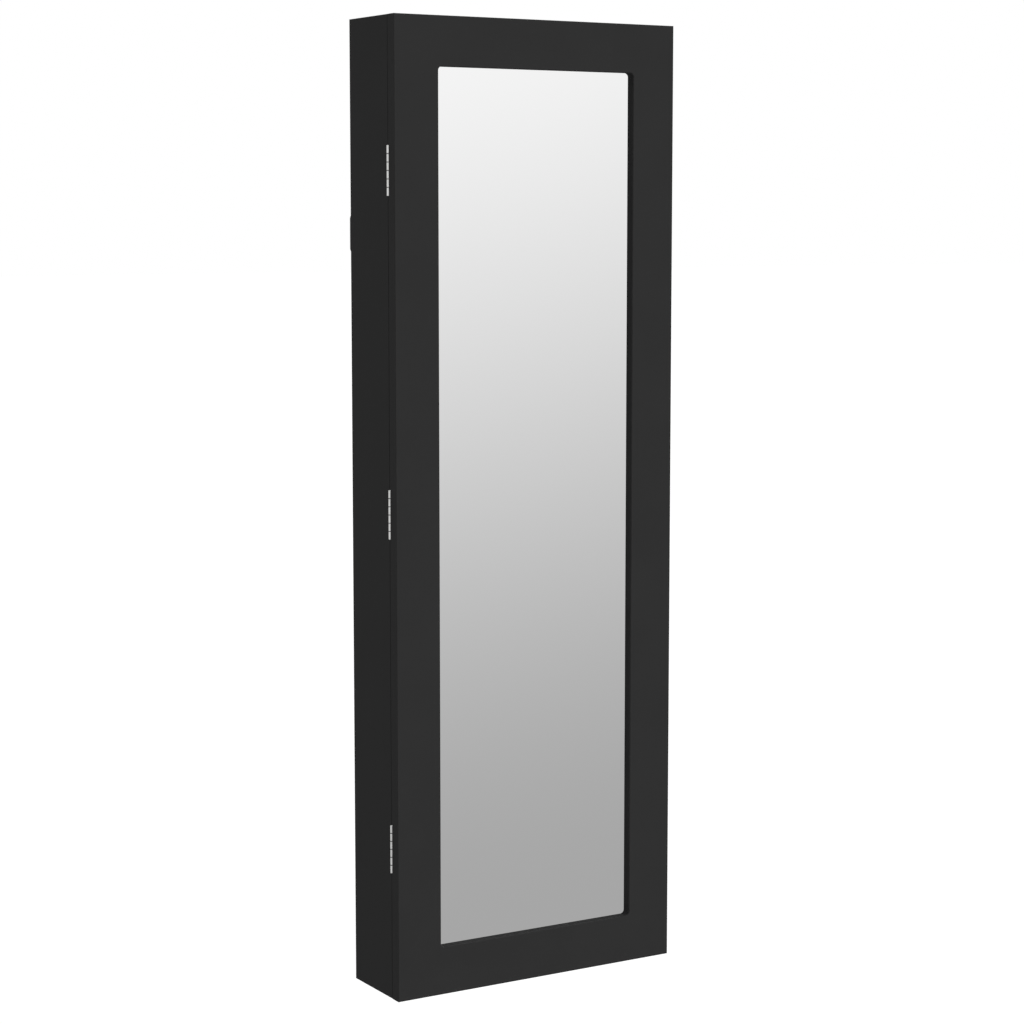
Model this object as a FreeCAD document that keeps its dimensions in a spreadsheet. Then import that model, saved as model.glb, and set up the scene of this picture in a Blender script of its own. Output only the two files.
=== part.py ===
"""Slim wall-hung mirror cabinet: a black box with a framed mirror as its door.

Millimetres. +X is to the right seen from the front, +Y runs into the wall, +Z is up.
The origin lies on the wall, midway between the entry holes of the two hanging plates.
"""
import FreeCAD
import Part
import Sketcher
import math
import os

DRIVING_SIZES = {
    # the closed cabinet, without its hanging plates
    "cabinet_width": 300.0,
    "cabinet_height": 900.0,
    "cabinet_depth": 86.0,
    # the box
    "panel_thick": 12.0,
    "edge_round": 0.6,
    "back_thick": 3.0,
    "back_recess": 8.0,
    "groove_depth": 4.0,
    "groove_clear": 0.1,
    "dowel_radius": 3.0,
    "dowel_length": 24.0,
    "dowel_seat": 8.0,
    "dowel_front_inset": 16.0,
    "dowel_rear_inset": 12.0,
    "dowel_clear": 0.05,
    # the door
    "door_thick": 12.0,
    "door_gap": 0.8,
    "frame_rail": 45.0,
    "window_radius": 4.0,
    "mirror_thick": 2.0,
    "mirror_lap": 6.0,
    "mirror_clear": 0.5,
    "backing_thick": 3.0,
    "backing_seat": 6.5,
    "backing_screw_count": 4.0,
    # the three hinges
    "hinge_top_inset": 138.0,
    "hinge_bottom_inset": 142.0,
    "hinge_length": 45.0,
    "knuckle_count": 6.0,
    "knuckle_gap": 0.2,
    "barrel_radius": 1.0,
    "barrel_clear": 0.3,
    "pin_radius": 0.45,
    "pin_clear": 0.05,
    "pin_offset": 0.2,
    "leaf_thick": 0.5,
    "leaf_width": 10.5,
    "leaf_clear": 0.3,
    "leaf_edge_clear": 0.2,
    "leaf_screw_reach": 6.2,
    "leaf_screw_pitch": 26.0,
    # screws
    "screw_clear": 0.05,
    "drive_length_ratio": 1.1,
    "drive_width_ratio": 0.28,
    "drive_depth_ratio": 0.7,
    "hinge_screw_radius": 1.1,
    "board_screw_radius": 1.3,
    "board_screw_head": 1.3,
    "screw_hold": 8.0,
    "plate_screw_radius": 1.75,
    "plate_screw_hold": 15.0,
    # hanging plates and wall pads
    "hang_drop": 199.0,
    "plate_width": 34.0,
    "plate_height": 37.0,
    "plate_thick": 1.2,
    "plate_radius": 5.0,
    "plate_screw_pitch": 24.0,
    "keyhole_margin": 10.0,
    "keyhole_radius": 4.5,
    "keyhole_slot": 4.8,
    "keyhole_rise": 9.0,
    "pad_radius": 5.0,
    "pad_height": 60.0,
    # shelves and guard rails
    "shelf_thick": 8.0,
    "shelf_set_back": 7.0,
    "ring_shelf_height": 448.0,
    "middle_shelf_height": 282.0,
    "lower_shelf_height": 142.0,
    "shelf_dowel_radius": 2.5,
    "shelf_dowel_length": 20.0,
    "shelf_dowel_inset": 14.0,
    "guard_radius": 2.0,
    "guard_inset": 4.0,
    "guard_rise": 18.0,
    "guard_seat": 5.0,
    "guard_clear": 0.1,
    # necklace hooks
    "strip_drop": 12.0,
    "strip_height": 30.0,
    "strip_thick": 12.0,
    "strip_screw_pitch": 110.0,
    "hook_count": 8.0,
    "hook_pitch": 30.0,
    "hook_wire": 1.5,
    "hook_reach": 14.0,
    "hook_bend": 5.0,
    "hook_rise": 4.0,
    "hook_ball": 2.4,
    "rosette_radius": 4.0,
    "rosette_thick": 1.2,
    # ring tray and padded rolls
    "tray_wall": 6.0,
    "tray_floor": 3.0,
    "tray_depth": 26.0,
    "roll_count": 7.0,
    "roll_radius": 6.5,
    "roll_gap": 0.3,
    "roll_end_round": 3.0,
    # bracelet rod
    "rod_drop": 48.0,
    "rod_depth": 30.0,
    "rod_radius": 4.0,
    "rod_clear": 0.1,
    "socket_radius": 13.0,
    "socket_thick": 4.0,
    "socket_screw_reach": 8.0,
    # magnetic catches and strike plates
    "catch_upper_drop": 250.0,
    "catch_lower_rise": 65.0,
    "catch_width": 14.0,
    "catch_depth": 15.0,
    "catch_length": 44.0,
    "catch_screw_inset": 5.5,
    "magnet_thick": 5.0,
    "magnet_length": 20.0,
    "magnet_depth": 10.0,
    "magnet_clear": 0.1,
    "pole_thick": 1.5,
    "pole_proud": 0.8,
    "strike_thick": 1.0,
    "strike_width": 10.0,
    "strike_length": 38.0,
    "strike_gap": 0.2,
    "strike_screw_inset": 5.0,
    # earring bars
    "bar_count": 3.0,
    "bar_drop": 100.0,
    "bar_pitch": 80.0,
    "bar_wire": 1.25,
    "bar_inset": 23.0,
    "bar_standoff": 12.0,
    "bar_bend": 4.0,
    "bar_seat": 2.0,
    "bar_clear": 0.1,
}

doc = FreeCAD.newDocument("mirror_cabinet")
sheet = doc.addObject("Spreadsheet::Sheet", "dim")
for row, (alias, number) in enumerate(DRIVING_SIZES.items(), start=1):
    sheet.set(f"A{row}", alias)
    sheet.set(f"B{row}", str(number))
    sheet.setAlias(f"B{row}", alias)
doc.recompute()

RIGHT = FreeCAD.Vector(1, 0, 0)
LEFT = FreeCAD.Vector(-1, 0, 0)
REARWARD = FreeCAD.Vector(0, 1, 0)
FORWARD = FreeCAD.Vector(0, -1, 0)
UP = FreeCAD.Vector(0, 0, 1)
DOWN = FreeCAD.Vector(0, 0, -1)
QUARTER_TURN = math.pi / 2
SAME_PLACE = 1e-6

# Planes of the cabinet, from the wall forwards, from its base upwards and from its middle outwards.
PANEL_REAR = "(-dim.plate_thick)"
BACK_REAR = "(-dim.plate_thick - dim.back_recess)"
BACK_FRONT = f"({BACK_REAR} - dim.back_thick)"
DOOR_FRONT = "(-dim.plate_thick - dim.cabinet_depth)"
DOOR_BACK = f"({DOOR_FRONT} + dim.door_thick)"
BOX_FRONT = f"({DOOR_BACK} + dim.door_gap)"
BACKING_REAR = f"({DOOR_BACK} + dim.backing_thick)"
ROOF = "dim.hang_drop"
BASE = f"({ROOF} - dim.cabinet_height)"
FLOOR_TOP = f"({BASE} + dim.panel_thick)"
CEILING = f"({ROOF} - dim.panel_thick)"
OUTER = "(dim.cabinet_width / 2)"
INNER = "(dim.cabinet_width / 2 - dim.panel_thick)"
PANEL_MIDDLE = "(dim.cabinet_width / 2 - dim.panel_thick / 2)"
PIN_X = "(-dim.cabinet_width / 2 - dim.pin_offset)"
PIN_Y = f"({DOOR_BACK} + dim.door_gap / 2)"
WINDOW_X = "(dim.cabinet_width / 2 - dim.frame_rail)"
WINDOW_LOW = f"({BASE} + dim.frame_rail)"
WINDOW_HIGH = f"({ROOF} - dim.frame_rail)"
SHELF_FRONT = f"({BACKING_REAR} + dim.shelf_set_back)"
GUARD_Y = f"({SHELF_FRONT} + dim.guard_inset)"

nodes = {}
cutters = {}


def value(expression):
    """Work an expression on the sheet's cells out to a number."""
    return float(sheet.evalExpression(expression))


def count(alias):
    """Read a whole number from the sheet."""
    return int(round(value(f"dim.{alias}")))


def place(thing, point, rotation=None):
    """Turn a piece once and bind its position to the sheet."""
    if rotation is not None:
        thing.Placement = FreeCAD.Placement(FreeCAD.Vector(), rotation)
    for axis, expression in zip("xyz", point):
        thing.setExpression(f"Placement.Base.{axis}", expression)
    return thing


def block(name, across, depth, height):
    """Make a box from its two limits along X, along Y and along Z."""
    box = doc.addObject("Part::Box", name)
    for side, (low, high) in zip(("Length", "Width", "Height"), (across, depth, height)):
        box.setExpression(side, f"{high} - ({low})")
    return place(box, (across[0], depth[0], height[0]))


def cylinder(name, radius, length, point, direction=UP):
    """Make a round bar that starts at a point and runs in a direction."""
    bar = doc.addObject("Part::Cylinder", name)
    bar.setExpression("Radius", radius)
    bar.setExpression("Height", length)
    return place(bar, point, FreeCAD.Rotation(UP, direction))


def cone(name, first_radius, last_radius, length, point, direction=UP):
    """Make a cone that starts at a point and runs in a direction."""
    taper = doc.addObject("Part::Cone", name)
    taper.setExpression("Radius1", first_radius)
    taper.setExpression("Radius2", last_radius)
    taper.setExpression("Height", length)
    return place(taper, point, FreeCAD.Rotation(UP, direction))


def elbow(name, wire, bend, centre, start, end):
    """Make a quarter bend of round wire about a centre, from one direction to another."""
    quarter = doc.addObject("Part::Torus", name)
    quarter.setExpression("Radius1", bend)
    quarter.setExpression("Radius2", wire)
    quarter.Angle3 = 90
    return place(quarter, centre, FreeCAD.Rotation(start, end, start.cross(end), "XYZ"))


def fuse(name, pieces):
    """Join overlapping or touching shapes to one."""
    joined = doc.addObject("Part::MultiFuse", name)
    joined.Shapes = pieces
    joined.Refine = True
    return joined


def cut(name, blank, tools):
    """Take the tools away from the blank."""
    result = doc.addObject("Part::Cut", name)
    result.Base = blank
    result.Tool = tools[0] if len(tools) == 1 else fuse(f"{name}_cutters", tools)
    return result


def copies(master, points, rotation=None):
    """Repeat a shape at several points of the cabinet."""
    linked = []
    for number, point in enumerate(points, start=1):
        copy = doc.addObject("App::Link", f"{master.Name}_{number}")
        copy.LinkedObject = master
        copy.LinkTransform = False
        linked.append(place(copy, point, rotation or FreeCAD.Rotation()))
    return linked


def node(label, pieces):
    """Name a finished piece, or a group of like pieces that stay separate solids."""
    thing = pieces
    if isinstance(pieces, list):
        thing = doc.addObject("Part::Compound", f"{label}_group")
        thing.Links = pieces
    thing.Label = label
    nodes[label] = thing
    return thing


def hollow(label, tools):
    """Note shapes that a board gives way to when it is cut at the end."""
    cutters.setdefault(label, []).extend(tools)


def sketch_on(body, role, offset):
    """Add a sketch on one of the body's origin planes, moved along that plane's normal."""
    sketch = body.newObject("Sketcher::SketchObject", f"{body.Name}_sketch")
    plane = next(feature for feature in body.Origin.OriginFeatures if feature.Role == role)
    sketch.AttachmentSupport = [(plane, "")]
    sketch.MapMode = "FlatFace"
    sketch.setExpression("AttachmentOffset.Base.z", offset)
    return sketch


def tie(sketch, kind, corner, expression):
    """Bind the distance of a sketch point from the sketch's origin to the sheet."""
    geometry, point = corner
    number = sketch.addConstraint(Sketcher.Constraint(kind, -1, 1, geometry, point, value(expression)))
    sketch.setExpression(f"Constraints[{number}]", expression)


def rectangle(sketch, across, upward):
    """Draw a rectangle from its limits along the sketch's two axes."""
    left, right = (value(limit) for limit in across)
    low, high = (value(limit) for limit in upward)
    corners = [(left, low), (right, low), (right, high), (left, high)]
    for first, last in zip(corners, corners[1:] + corners[:1]):
        sketch.addGeometry(Part.LineSegment(FreeCAD.Vector(*first), FreeCAD.Vector(*last)), False)
    for side in range(4):
        sketch.addConstraint(Sketcher.Constraint("Coincident", side, 2, (side + 1) % 4, 1))
        sketch.addConstraint(Sketcher.Constraint("Vertical" if side % 2 else "Horizontal", side))
    tie(sketch, "DistanceX", (0, 1), across[0])
    tie(sketch, "DistanceY", (0, 1), upward[0])
    tie(sketch, "DistanceX", (2, 1), across[1])
    tie(sketch, "DistanceY", (2, 1), upward[1])


def round_rectangle(sketch, across, upward, radius):
    """Draw a rectangle with round corners: each side is followed by the arc to the next side."""
    left, right = (value(limit) for limit in across)
    low, high = (value(limit) for limit in upward)
    bend = value(radius)
    sides = [
        ((left + bend, low), (right - bend, low)),
        ((right, low + bend), (right, high - bend)),
        ((right - bend, high), (left + bend, high)),
        ((left, high - bend), (left, low + bend)),
    ]
    centres = [
        (right - bend, low + bend),
        (right - bend, high - bend),
        (left + bend, high - bend),
        (left + bend, low + bend),
    ]
    for turn, ((first, last), centre) in enumerate(zip(sides, centres)):
        circle = Part.Circle(FreeCAD.Vector(*centre), UP, bend)
        sketch.addGeometry(Part.LineSegment(FreeCAD.Vector(*first), FreeCAD.Vector(*last)), False)
        sketch.addGeometry(Part.ArcOfCircle(circle, (turn - 1) * QUARTER_TURN, turn * QUARTER_TURN), False)
    for turn in range(4):
        side = 2 * turn
        arc = side + 1
        sketch.addConstraint(Sketcher.Constraint("Tangent", side, 2, arc, 1))
        sketch.addConstraint(Sketcher.Constraint("Tangent", arc, 2, (side + 2) % 8, 1))
        sketch.addConstraint(Sketcher.Constraint("Vertical" if turn % 2 else "Horizontal", side))
        if turn:
            sketch.addConstraint(Sketcher.Constraint("Equal", 1, arc))
    number = sketch.addConstraint(Sketcher.Constraint("Radius", 1, bend))
    sketch.setExpression(f"Constraints[{number}]", radius)
    tie(sketch, "DistanceY", (0, 1), upward[0])
    tie(sketch, "DistanceX", (2, 1), across[1])
    tie(sketch, "DistanceY", (4, 1), upward[1])
    tie(sketch, "DistanceX", (6, 1), across[0])


def pad(body, sketch, thick):
    """Raise a sketch along its normal to a solid."""
    solid = body.newObject("PartDesign::Pad", f"{body.Name}_pad")
    solid.Profile = sketch
    solid.setExpression("Length", thick)
    return solid


def pocket(body, sketch, depth, along_normal):
    """Sink a sketch into the body, along its normal or against it, and make sure that it cut."""
    doc.recompute()
    before = body.Shape.Volume
    sunk = body.newObject("PartDesign::Pocket", f"{body.Name}_pocket")
    sunk.Profile = sketch
    sunk.Reversed = along_normal
    sunk.setExpression("Length", depth)
    doc.recompute()
    if body.Shape.Volume >= before:
        raise RuntimeError(f"a pocket of {body.Name} cuts nothing")
    return sunk


def round_edges(body, feature, wanted):
    """Ease the wanted edges of a board by the small radius that its paint leaves."""
    doc.recompute()
    names = [f"Edge{number}" for number, edge in enumerate(feature.Shape.Edges, start=1) if wanted(edge)]
    eased = body.newObject("PartDesign::Fillet", f"{body.Name}_eased")
    eased.Base = (feature, names)
    eased.setExpression("Radius", "dim.edge_round")
    return eased


def edge_lies_at(edge, axis, expression):
    """Tell whether an edge lies in the plane at this height along an axis."""
    level = value(expression)
    return all(abs(getattr(corner, axis) - level) < SAME_PLACE for corner in edge.Vertexes)


def board(name, role, offset, across, upward, thick):
    """Start a flat board: a rectangle on an origin plane, raised to its thickness."""
    body = doc.addObject("PartDesign::Body", f"{name}_blank")
    sketch = sketch_on(body, role, offset)
    rectangle(sketch, across, upward)
    return body, pad(body, sketch, thick)


def screw(name, radius, head_depth, seat, hold="dim.screw_hold"):
    """Make a countersunk screw that starts at its head face and runs up, and the hole that it needs.

    Its length is the thickness that it holds down, its seat, and what it holds in the board behind.
    """
    origin = ("0", "0", "0")
    length = f"({seat} + {hold})"
    head_radius = f"({radius} + {head_depth})"
    tip = f"(2 * {radius})"
    shank = f"({length} - {head_depth} - {tip})"
    parts = [
        cone(f"{name}_head", head_radius, radius, head_depth, origin),
        cylinder(f"{name}_shank", radius, shank, ("0", "0", head_depth)),
        cone(f"{name}_tip", radius, f"{radius} / 4", tip, ("0", "0", f"{head_depth} + {shank}")),
    ]
    reach = f"(dim.drive_length_ratio * {head_radius} / 2)"
    half = f"(dim.drive_width_ratio * {head_radius} / 2)"
    depth = ("0", f"dim.drive_depth_ratio * {head_depth}")
    slots = [
        block(f"{name}_slot_across", (f"-{reach}", reach), (f"-{half}", half), depth),
        block(f"{name}_slot_along", (f"-{half}", half), (f"-{reach}", reach), depth),
    ]
    master = cut(f"{name}_master", fuse(f"{name}_body", parts), slots)
    wide = f"({head_radius} + dim.screw_clear)"
    narrow = f"({radius} + dim.screw_clear)"
    hole = fuse(f"{name}_hole", [
        cone(f"{name}_sink", wide, narrow, head_depth, origin),
        cylinder(f"{name}_bore", narrow, f"{length} + dim.screw_clear", origin),
    ])
    return master, hole


def drive(kind, points, direction, through):
    """Drive screws of a kind in at their head points, and note their holes in the boards they pass."""
    master, hole = kind
    rotation = FreeCAD.Rotation(UP, direction)
    holes = copies(hole, points, rotation)
    for label in through:
        hollow(label, holes)
    return copies(master, points, rotation)


BOARD_SCREW = ("dim.board_screw_radius", "dim.board_screw_head")
strip_screw = screw("strip_screw", *BOARD_SCREW, "dim.back_thick")
socket_screw = screw("socket_screw", *BOARD_SCREW, "dim.socket_thick")
catch_screw = screw("catch_screw", *BOARD_SCREW, "dim.catch_width")
backing_screw = screw("backing_screw", *BOARD_SCREW, "dim.backing_thick")
strike_screw = screw("strike_screw", "dim.board_screw_radius", "dim.strike_thick", "dim.strike_thick")
hinge_screw = screw("hinge_screw", "dim.hinge_screw_radius", "dim.leaf_thick", "dim.leaf_thick")
plate_screw = screw(
    "plate_screw", "dim.plate_screw_radius", "dim.plate_thick", "dim.plate_thick", "dim.plate_screw_hold"
)

# Box: two full-height sides with the top and bottom between them, outer edges eased.
blanks = {}
BOX_DEPTH = (BOX_FRONT, PANEL_REAR)
for label, inner_plane, outer_plane in (
    ("left_side_panel", f"-{OUTER}", f"-{OUTER}"),
    ("right_side_panel", INNER, OUTER),
):
    body, raised = board(label, "YZ_Plane", inner_plane, BOX_DEPTH, (BASE, ROOF), "dim.panel_thick")
    round_edges(body, raised, lambda edge, plane=outer_plane: edge_lies_at(edge, "X", plane))
    blanks[label] = body
for label, underside in (("top_panel", CEILING), ("bottom_panel", BASE)):
    blanks[label], _ = board(label, "XY_Plane", underside, (f"-{INNER}", INNER), BOX_DEPTH, "dim.panel_thick")

# Back panel: a thin board slid into a groove on all four sides.
GROOVE = (f"{BACK_FRONT} - dim.groove_clear", f"{BACK_REAR} + dim.groove_clear")
groove_x = f"({INNER} + dim.groove_depth)"
groove_low = f"({FLOOR_TOP} - dim.groove_depth)"
groove_high = f"({CEILING} + dim.groove_depth)"
groove = block("back_groove", (f"-{groove_x}", groove_x), GROOVE, (groove_low, groove_high))
for label in blanks:
    hollow(label, [groove])
blanks["back_panel"] = block(
    "back_panel_blank",
    (f"-{groove_x} + dim.groove_clear", f"{groove_x} - dim.groove_clear"),
    (BACK_FRONT, BACK_REAR),
    (f"{groove_low} + dim.groove_clear", f"{groove_high} - dim.groove_clear"),
)


def dowels(name, radius, length, rows):
    """Lay dowels across both side joints: rows give the Y and Z of each pair and the board it holds."""
    peg = cylinder(f"{name}_master", radius, length, ("0", "0", "0"), RIGHT)
    hole_length = f"{length} + 2 * dim.dowel_clear"
    hole = cylinder(f"{name}_hole", f"{radius} + dim.dowel_clear", hole_length, ("0", "0", "0"), RIGHT)
    right_start = f"{INNER} + dim.dowel_seat - {length}"
    left_start = f"-{INNER} - dim.dowel_seat"
    pegs = []
    turn = FreeCAD.Rotation(UP, RIGHT)
    for depth, height, label in rows:
        for side, start in (("left_side_panel", left_start), ("right_side_panel", right_start)):
            pegs += copies(peg, [(start, depth, height)], turn)
            room = copies(hole, [(f"{start} - dim.dowel_clear", depth, height)], turn)
            hollow(side, room)
            hollow(label, room)
    return pegs


corner_rows = []
for label, height in (
    ("top_panel", f"{ROOF} - dim.panel_thick / 2"),
    ("bottom_panel", f"{BASE} + dim.panel_thick / 2"),
):
    corner_rows.append((f"{BOX_FRONT} + dim.dowel_front_inset", height, label))
    corner_rows.append((f"{BACK_FRONT} - dim.dowel_rear_inset", height, label))
node("corner_dowels", dowels("corner_dowel", "dim.dowel_radius", "dim.dowel_length", corner_rows))

# Shelves: boards between the sides on dowels, with their backs against the back panel.
SHELVES = {
    "ring_shelf": "dim.ring_shelf_height",
    "middle_shelf": "dim.middle_shelf_height",
    "lower_shelf": "dim.lower_shelf_height",
}
shelf_rows = []
for label, height in SHELVES.items():
    underside = f"({BASE} + {height})"
    thickness = (underside, f"({underside} + dim.shelf_thick)")
    blanks[label] = block(f"{label}_blank", (f"-{INNER}", INNER), (SHELF_FRONT, BACK_FRONT), thickness)
    middle = f"{underside} + dim.shelf_thick / 2"
    shelf_rows.append((f"{SHELF_FRONT} + dim.shelf_dowel_inset", middle, label))
    shelf_rows.append((f"{BACK_FRONT} - dim.shelf_dowel_inset", middle, label))
node("shelf_dowels", dowels("shelf_dowel", "dim.shelf_dowel_radius", "dim.shelf_dowel_length", shelf_rows))

# Guard rails: thin rods across the front of a shelf, their ends sunk in the sides.
GUARDED = {
    "guard_rail_middle": f"{BASE} + dim.middle_shelf_height + dim.shelf_thick",
    "guard_rail_lower": f"{BASE} + dim.lower_shelf_height + dim.shelf_thick",
    "guard_rail_bottom": FLOOR_TOP,
}
rail_end = f"({INNER} + dim.guard_seat)"
for label, surface in GUARDED.items():
    height = f"{surface} + dim.guard_rise"
    start = (f"-{rail_end}", GUARD_Y, height)
    node(label, cylinder(f"{label}_rod", "dim.guard_radius", f"2 * {rail_end}", start, RIGHT))
    socket_end = f"({rail_end} + dim.guard_clear)"
    socket_radius = "dim.guard_radius + dim.guard_clear"
    start = (f"-{socket_end}", GUARD_Y, height)
    rail_room = cylinder(f"{label}_room", socket_radius, f"2 * {socket_end}", start, RIGHT)
    hollow("left_side_panel", [rail_room])
    hollow("right_side_panel", [rail_room])

# Necklace hooks: bent wire with a rosette and a ball, screwed to a strip under the top panel.
strip_top = f"({CEILING} - dim.strip_drop)"
strip_low = f"({strip_top} - dim.strip_height)"
strip_front = f"({BACK_FRONT} - dim.strip_thick)"
blanks["necklace_hook_strip"] = block(
    "necklace_hook_strip_blank", (f"-{INNER}", INNER), (strip_front, BACK_FRONT), (strip_low, strip_top)
)
strip_middle = f"({strip_low} + dim.strip_height / 2)"
strip_points = [(f"{step} * dim.strip_screw_pitch", BACK_REAR, strip_middle) for step in (-1, 0, 1)]
node("hook_strip_screws", drive(strip_screw, strip_points, FORWARD, ["back_panel", "necklace_hook_strip"]))
bend_y = "(-dim.hook_reach)"
tip_y = f"({bend_y} - dim.hook_bend)"
ball = doc.addObject("Part::Sphere", "hook_ball")
ball.setExpression("Radius", "dim.hook_ball")
place(ball, ("0", tip_y, "dim.hook_bend + dim.hook_rise + dim.hook_ball / 2"))
hook = fuse("necklace_hook_master", [
    cylinder("hook_rosette", "dim.rosette_radius", "dim.rosette_thick", ("0", "0", "0"), FORWARD),
    cylinder("hook_shank", "dim.hook_wire", "dim.hook_reach", ("0", "0", "0"), FORWARD),
    elbow("hook_elbow", "dim.hook_wire", "dim.hook_bend", ("0", bend_y, "dim.hook_bend"), DOWN, FORWARD),
    cylinder("hook_upright", "dim.hook_wire", "dim.hook_rise", ("0", tip_y, "dim.hook_bend")),
    ball,
])
hooks_across = count("hook_count")
hook_points = [
    (f"({index} - ({hooks_across} - 1) / 2) * dim.hook_pitch", strip_front, strip_middle)
    for index in range(hooks_across)
]
node("necklace_hooks", copies(hook, hook_points))

# Ring tray: a shallow open box on the ring shelf, filled with padded rolls that lie across it.
rolls = count("roll_count")
ROLL_PITCH = "(2 * dim.roll_radius + dim.roll_gap)"
tray_low = f"({BASE} + dim.ring_shelf_height + dim.shelf_thick)"
tray_inside_low = f"({tray_low} + dim.tray_wall)"
tray_inside_high = f"({tray_inside_low} + {rolls} * {ROLL_PITCH} + dim.roll_gap)"
tray_front = f"({BACK_FRONT} - dim.tray_depth)"
tray_inside_x = f"({INNER} - dim.tray_wall)"
tray_box = block(
    "ring_tray_box",
    (f"-{INNER}", INNER),
    (tray_front, BACK_FRONT),
    (tray_low, f"({tray_inside_high} + dim.tray_wall)"),
)
tray_room = block(
    "ring_tray_room",
    (f"-{tray_inside_x}", tray_inside_x),
    (f"({tray_front} - dim.tray_wall)", f"({BACK_FRONT} - dim.tray_floor)"),
    (tray_inside_low, tray_inside_high),
)
node("ring_tray", cut("ring_tray_board", tray_box, [tray_room]))


def padded_roll():
    """Turn a foam roll with rounded ends about its own axis, which lies along X."""
    body = doc.addObject("PartDesign::Body", "ring_roll_master")
    sketch = sketch_on(body, "XY_Plane", "0")
    half = f"({tray_inside_x} - dim.roll_gap)"
    reach = value(half)
    radius = value("dim.roll_radius")
    bend = value("dim.roll_end_round")
    right_centre = FreeCAD.Vector(reach - bend, radius - bend, 0)
    left_centre = FreeCAD.Vector(bend - reach, radius - bend, 0)
    path = [
        Part.LineSegment(FreeCAD.Vector(-reach, 0, 0), FreeCAD.Vector(reach, 0, 0)),
        Part.LineSegment(FreeCAD.Vector(reach, 0, 0), FreeCAD.Vector(reach, radius - bend, 0)),
        Part.ArcOfCircle(Part.Circle(right_centre, UP, bend), 0, QUARTER_TURN),
        Part.LineSegment(FreeCAD.Vector(reach - bend, radius, 0), FreeCAD.Vector(bend - reach, radius, 0)),
        Part.ArcOfCircle(Part.Circle(left_centre, UP, bend), QUARTER_TURN, 2 * QUARTER_TURN),
        Part.LineSegment(FreeCAD.Vector(-reach, radius - bend, 0), FreeCAD.Vector(-reach, 0, 0)),
    ]
    for piece in path:
        sketch.addGeometry(piece, False)
    sketch.addConstraint(Sketcher.Constraint("Coincident", 0, 2, 1, 1))
    sketch.addConstraint(Sketcher.Constraint("Coincident", 5, 2, 0, 1))
    sketch.addConstraint(Sketcher.Constraint("Tangent", 1, 2, 2, 1))
    sketch.addConstraint(Sketcher.Constraint("Tangent", 2, 2, 3, 1))
    sketch.addConstraint(Sketcher.Constraint("Tangent", 3, 2, 4, 1))
    sketch.addConstraint(Sketcher.Constraint("Tangent", 4, 2, 5, 1))
    sketch.addConstraint(Sketcher.Constraint("Horizontal", 0))
    sketch.addConstraint(Sketcher.Constraint("Vertical", 1))
    sketch.addConstraint(Sketcher.Constraint("Vertical", 5))
    sketch.addConstraint(Sketcher.Constraint("Equal", 2, 4))
    number = sketch.addConstraint(Sketcher.Constraint("Radius", 2, bend))
    sketch.setExpression(f"Constraints[{number}]", "dim.roll_end_round")
    tie(sketch, "DistanceX", (0, 1), f"-{half}")
    tie(sketch, "DistanceX", (0, 2), half)
    tie(sketch, "DistanceY", (3, 1), "dim.roll_radius")
    sketch.addConstraint(Sketcher.Constraint("PointOnObject", 0, 1, -1))
    turned = body.newObject("PartDesign::Revolution", "ring_roll_turned")
    turned.Profile = sketch
    turned.ReferenceAxis = (sketch, ["H_Axis"])
    turned.Angle = 360
    return body


roll_y = f"{BACK_FRONT} - dim.tray_floor - dim.roll_gap - dim.roll_radius"
roll_points = [
    ("0", roll_y, f"{tray_inside_low} + dim.roll_gap + dim.roll_radius + {index} * {ROLL_PITCH}")
    for index in range(rolls)
]
node("ring_rolls", copies(padded_roll(), roll_points))

# Bracelet rod: a round bar across the box in two flanged sockets, each held by two screws.
rod_y = f"({BACK_FRONT} - dim.rod_depth)"
rod_z = f"({BASE} + dim.ring_shelf_height - dim.rod_drop)"
rod_end = f"({INNER} - dim.rod_clear)"
rod_start = (f"-{rod_end}", rod_y, rod_z)
node("bracelet_rod", cylinder("bracelet_rod_bar", "dim.rod_radius", f"2 * {rod_end}", rod_start, RIGHT))
rod_room = cylinder(
    "rod_room", "dim.rod_radius + dim.rod_clear", f"2 * {INNER}", (f"-{INNER}", rod_y, rod_z), RIGHT
)
socket_screws = []
sockets = []
for side, wall, start, inward, outward in (
    ("left", "left_side_panel", f"-{INNER}", RIGHT, LEFT),
    ("right", "right_side_panel", INNER, LEFT, RIGHT),
):
    label = f"rod_socket_{side}"
    seat = (start, rod_y, rod_z)
    flange = cylinder(f"{label}_flange", "dim.socket_radius", "dim.socket_thick", seat, inward)
    head_x = f"{start} + dim.socket_thick" if side == "left" else f"{start} - dim.socket_thick"
    points = [(head_x, rod_y, f"{rod_z} + {turn} * dim.socket_screw_reach") for turn in (-1, 1)]
    socket_screws += drive(socket_screw, points, outward, [label, wall])
    sockets.append(cut(f"{label}_bored", flange, [rod_room] + cutters.pop(label)))
node("rod_sockets", sockets)
node("rod_socket_screws", socket_screws)

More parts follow.
